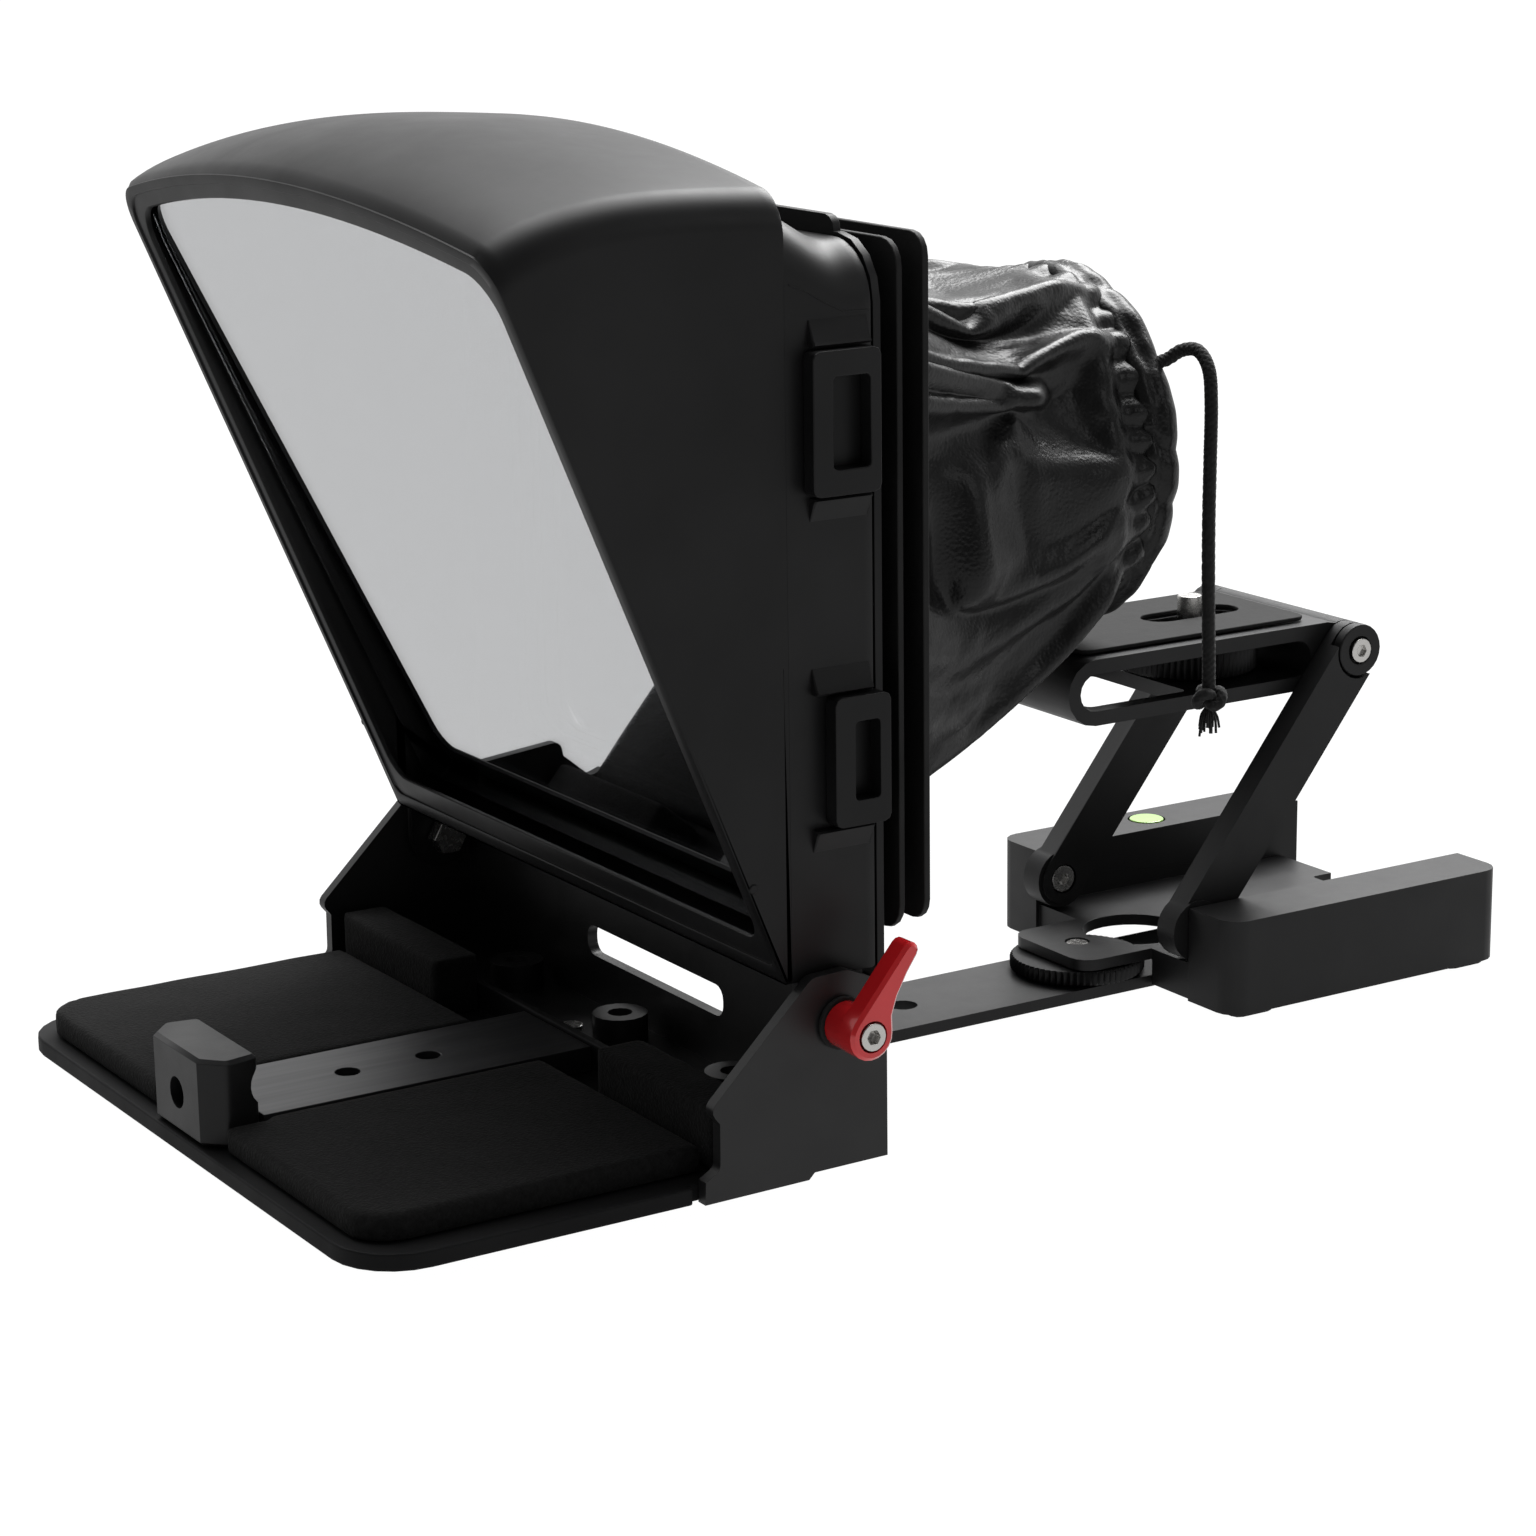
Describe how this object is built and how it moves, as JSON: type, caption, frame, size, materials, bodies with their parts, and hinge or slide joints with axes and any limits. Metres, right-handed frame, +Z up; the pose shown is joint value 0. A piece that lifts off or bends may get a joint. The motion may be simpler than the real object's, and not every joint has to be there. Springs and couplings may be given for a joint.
{
  "type": "teleprompter",
  "caption": "Camera-mounted teleprompter: folding hood with slanted beam-splitter glass over a screen tray, lens sleeve, rail and folding tilt head.",
  "frame": {"origin": "on the floor, in the middle of the footprint (the drawstring left out)", "axes": "+Z up, +Y from the tray towards the tilt head, +X to the right when seen from the tray's front"},
  "size_m": [0.1954, 0.314, 0.2062],
  "materials": {
    "tray_black": "satin black paint",
    "chassis_black": "satin black paint",
    "foam_black": "matte closed-cell foam",
    "channel_anodised": "satin dark anodised",
    "black_anodised": "black anodised, satin",
    "hood_plastic": "black moulded plastic, semi-matte",
    "splitter_glass": "semi-reflecting clear glass",
    "panel_black": "dull black sheet",
    "sleeve_leather": "black fine-grained synthetic leather",
    "cord_black": "black braided cord",
    "lever_red": "glossy red",
    "screw_steel": "bright screw steel",
    "rubber_black": "matte black rubber",
    "level_green": "green liquid behind clear plastic"
  },
  "bodies": {
    "base": {"tray_plate": "tray_black", "tray_foot_front": "rubber_black", "tray_foot_rear": "rubber_black", "chassis_frame": "chassis_black", "foam_pad_left": "foam_black", "foam_pad_right": "foam_black", "foam_stop_left": "foam_black", "foam_stop_right": "foam_black", "slide_channel": "channel_anodised", "camera_rail": "black_anodised", "rail_spacer": "black_anodised", "rail_bolt": "screw_steel", "rail_screw_left": "screw_steel", "rail_screw_right": "screw_steel", "hinge_bolt_left": "screw_steel", "hinge_bolt_right": "screw_steel", "hinge_washer_left": "rubber_black", "hinge_washer_right": "rubber_black"},
    "jaw": {"clamp_jaw": "black_anodised", "jaw_slide_bar": "black_anodised"},
    "hood": {"hood_shell": "hood_plastic", "beam_splitter_glass": "splitter_glass", "glass_rail_left": "hood_plastic", "glass_rail_right": "hood_plastic", "rear_frame": "hood_plastic", "panel_gasket": "foam_black", "rear_panel": "panel_black", "sleeve_gasket": "foam_black", "sleeve_plate": "panel_black", "latch_clip_upper_left": "hood_plastic", "latch_clip_upper_right": "hood_plastic", "latch_clip_lower_left": "hood_plastic", "latch_clip_lower_right": "hood_plastic", "lens_sleeve": "sleeve_leather", "sleeve_hem": "sleeve_leather", "drawstring": "cord_black"},
    "lever_left": {"clamp_lever_left": "lever_red", "lever_screw_left": "screw_steel"},
    "lever_right": {"clamp_lever_right": "lever_red", "lever_screw_right": "screw_steel"},
    "head": {"head_base": "black_anodised", "level_vial": "level_green", "rail_stud": "screw_steel", "lower_screw_left": "screw_steel", "lower_screw_right": "screw_steel"},
    "rail_wheel": {"rail_wheel": "black_anodised"},
    "arms": {"arm_left": "black_anodised", "arm_right": "black_anodised"},
    "plate": {"top_plate": "black_anodised", "top_pad": "rubber_black", "arm_cap_left": "black_anodised", "arm_cap_right": "black_anodised", "upper_screw_left": "screw_steel", "upper_screw_right": "screw_steel"},
    "camera_wheel": {"camera_wheel": "black_anodised", "camera_stud": "screw_steel"}
  },
  "joints": [
    {"name": "hood_fold", "type": "hinge", "parent": "base", "child": "hood", "pos_m": [0, -0.0538, 0.0362], "axis": [1, 0, 0], "range_deg": [0, 67]},
    {"name": "jaw_slide", "type": "slide", "parent": "base", "child": "jaw", "axis": [0, -1, 0], "range_m": [0, 0.045]},
    {"name": "lever_left_turn", "type": "hinge", "parent": "base", "child": "lever_left", "pos_m": [-0.09, -0.0538, 0.0362], "axis": [1, 0, 0], "range_deg": [-40, 40]},
    {"name": "lever_right_turn", "type": "hinge", "parent": "base", "child": "lever_right", "pos_m": [0.09, -0.0538, 0.0362], "axis": [1, 0, 0], "range_deg": [-40, 40]},
    {"name": "head_slide", "type": "slide", "parent": "base", "child": "head", "axis": [0, 1, 0], "range_m": [0, 0.025]},
    {"name": "rail_wheel_turn", "type": "hinge", "parent": "head", "child": "rail_wheel", "pos_m": [0, 0.0675, 0.005], "axis": [0, 0, 1], "continuous": true},
    {"name": "arm_tilt", "type": "hinge", "parent": "head", "child": "arms", "pos_m": [0, 0.08, 0.017], "axis": [1, 0, 0], "range_deg": [-40, 15]},
    {"name": "plate_tilt", "type": "hinge", "parent": "arms", "child": "plate", "pos_m": [0, 0.1264, 0.0755], "axis": [1, 0, 0], "range_deg": [0, 40]},
    {"name": "camera_wheel_turn", "type": "hinge", "parent": "plate", "child": "camera_wheel", "pos_m": [0, 0.099, 0.074], "axis": [0, 0, 1], "continuous": true}
  ]
}
